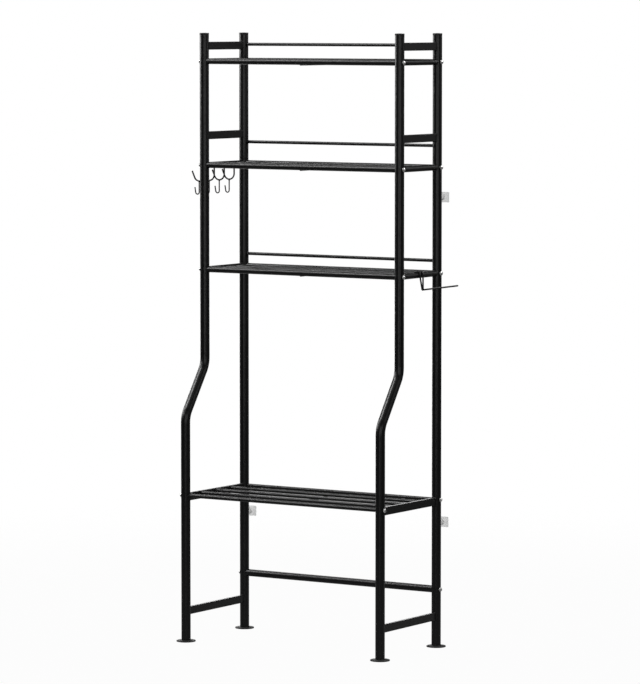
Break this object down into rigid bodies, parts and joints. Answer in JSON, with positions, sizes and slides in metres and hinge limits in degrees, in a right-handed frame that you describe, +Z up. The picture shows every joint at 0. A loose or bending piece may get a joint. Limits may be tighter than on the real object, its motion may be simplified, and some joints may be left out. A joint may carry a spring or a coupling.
{
  "type": "over the toilet storage rack",
  "caption": "Free-standing black tube rack with rod shelves, stepped front posts, back guard rails, hanging hooks, a paper holder and wall plates, for storage above a toilet.",
  "frame": {"origin": "on the floor, midway between the four post axes", "axes": "X to the right seen from the front, Y to the wall behind, Z up"},
  "size_m": [0.8222, 0.351, 1.7],
  "materials": {
    "black_steel": "semi-gloss black powder coat",
    "black_wire": "semi-gloss black coat on wire",
    "black_plastic": "satin black moulded plastic",
    "foot_rubber": "matt black rubber pad",
    "screw_steel": "bright zinc plated screw",
    "zinc_steel": "zinc plated steel",
    "clear_plastic": "frosted clear plastic",
    "white_plastic": "white moulded plastic"
  },
  "bodies": {
    "frame": {"left_front_post": "black_steel", "left_rear_post": "black_steel", "right_front_post": "black_steel", "right_rear_post": "black_steel", "post_caps": "black_plastic", "foot_inserts": "black_plastic", "left_top_rung": "black_steel", "left_upper_rung": "black_steel", "left_floor_rung": "black_steel", "left_lower_side_rail": "black_steel", "right_top_rung": "black_steel", "right_upper_rung": "black_steel", "right_floor_rung": "black_steel", "right_lower_side_rail": "black_steel", "left_top_end_rail": "black_steel", "right_top_end_rail": "black_steel", "left_second_end_rail": "black_steel", "right_second_end_rail": "black_steel", "left_third_end_rail": "black_steel", "right_third_end_rail": "black_steel", "top_shelf_front_rail": "black_steel", "top_shelf_rear_rail": "black_steel", "top_shelf_rods": "black_steel", "top_shelf_support": "black_steel", "second_shelf_front_rail": "black_steel", "second_shelf_rear_rail": "black_steel", "second_shelf_rods": "black_steel", "second_shelf_support": "black_steel", "third_shelf_front_rail": "black_steel", "third_shelf_rear_rail": "black_steel", "third_shelf_rods": "black_steel", "third_shelf_support": "black_steel", "lower_shelf_front_rail": "black_steel", "lower_shelf_rear_rail": "black_steel", "lower_shelf_rods": "black_steel", "lower_shelf_support": "black_steel", "top_guard_rail": "black_steel", "second_guard_rail": "black_steel", "third_guard_rail": "black_steel", "back_bar": "black_steel", "frame_screws": "screw_steel", "rail_inserts": "zinc_steel", "right_upper_wall_plate": "clear_plastic", "right_lower_wall_plate": "clear_plastic", "left_lower_wall_plate": "clear_plastic", "wall_spacers": "white_plastic"},
    "hook_1": {"hook_1": "black_wire"},
    "hook_2": {"hook_2": "black_wire"},
    "hook_3": {"hook_3": "black_wire"},
    "hook_4": {"hook_4": "black_wire"},
    "paper_holder": {"paper_holder": "black_wire"},
    "left_front_foot": {"left_front_foot_pad": "foot_rubber", "left_front_foot_stud": "zinc_steel"},
    "left_rear_foot": {"left_rear_foot_pad": "foot_rubber", "left_rear_foot_stud": "zinc_steel"},
    "right_front_foot": {"right_front_foot_pad": "foot_rubber", "right_front_foot_stud": "zinc_steel"},
    "right_rear_foot": {"right_rear_foot_pad": "foot_rubber", "right_rear_foot_stud": "zinc_steel"}
  },
  "joints": [
    {"name": "hook_1_swing", "type": "hinge", "parent": "frame", "child": "hook_1", "pos_m": [-0.32, -0.0337, 1.3315], "axis": [1, 0, 0], "range_deg": [-12, 25]},
    {"name": "hook_2_swing", "type": "hinge", "parent": "frame", "child": "hook_2", "pos_m": [-0.32, 0.01643, 1.3315], "axis": [1, 0, 0], "range_deg": [-25, 25]},
    {"name": "hook_3_swing", "type": "hinge", "parent": "frame", "child": "hook_3", "pos_m": [-0.32, 0.06657, 1.3315], "axis": [1, 0, 0], "range_deg": [-25, 25]},
    {"name": "hook_4_swing", "type": "hinge", "parent": "frame", "child": "hook_4", "pos_m": [-0.32, 0.1167, 1.3315], "axis": [1, 0, 0], "range_deg": [-25, 25]},
    {"name": "paper_holder_lift", "type": "hinge", "parent": "frame", "child": "paper_holder", "pos_m": [0.32, 0.0485, 1.0395], "axis": [0, -1, 0], "range_deg": [0, 60]},
    {"name": "left_front_foot_height", "type": "slide", "parent": "frame", "child": "left_front_foot", "axis": [0, 0, -1], "range_m": [0, 0.01]},
    {"name": "left_rear_foot_height", "type": "slide", "parent": "frame", "child": "left_rear_foot", "axis": [0, 0, -1], "range_m": [0, 0.01]},
    {"name": "right_front_foot_height", "type": "slide", "parent": "frame", "child": "right_front_foot", "axis": [0, 0, -1], "range_m": [0, 0.01]},
    {"name": "right_rear_foot_height", "type": "slide", "parent": "frame", "child": "right_rear_foot", "axis": [0, 0, -1], "range_m": [0, 0.01]}
  ]
}
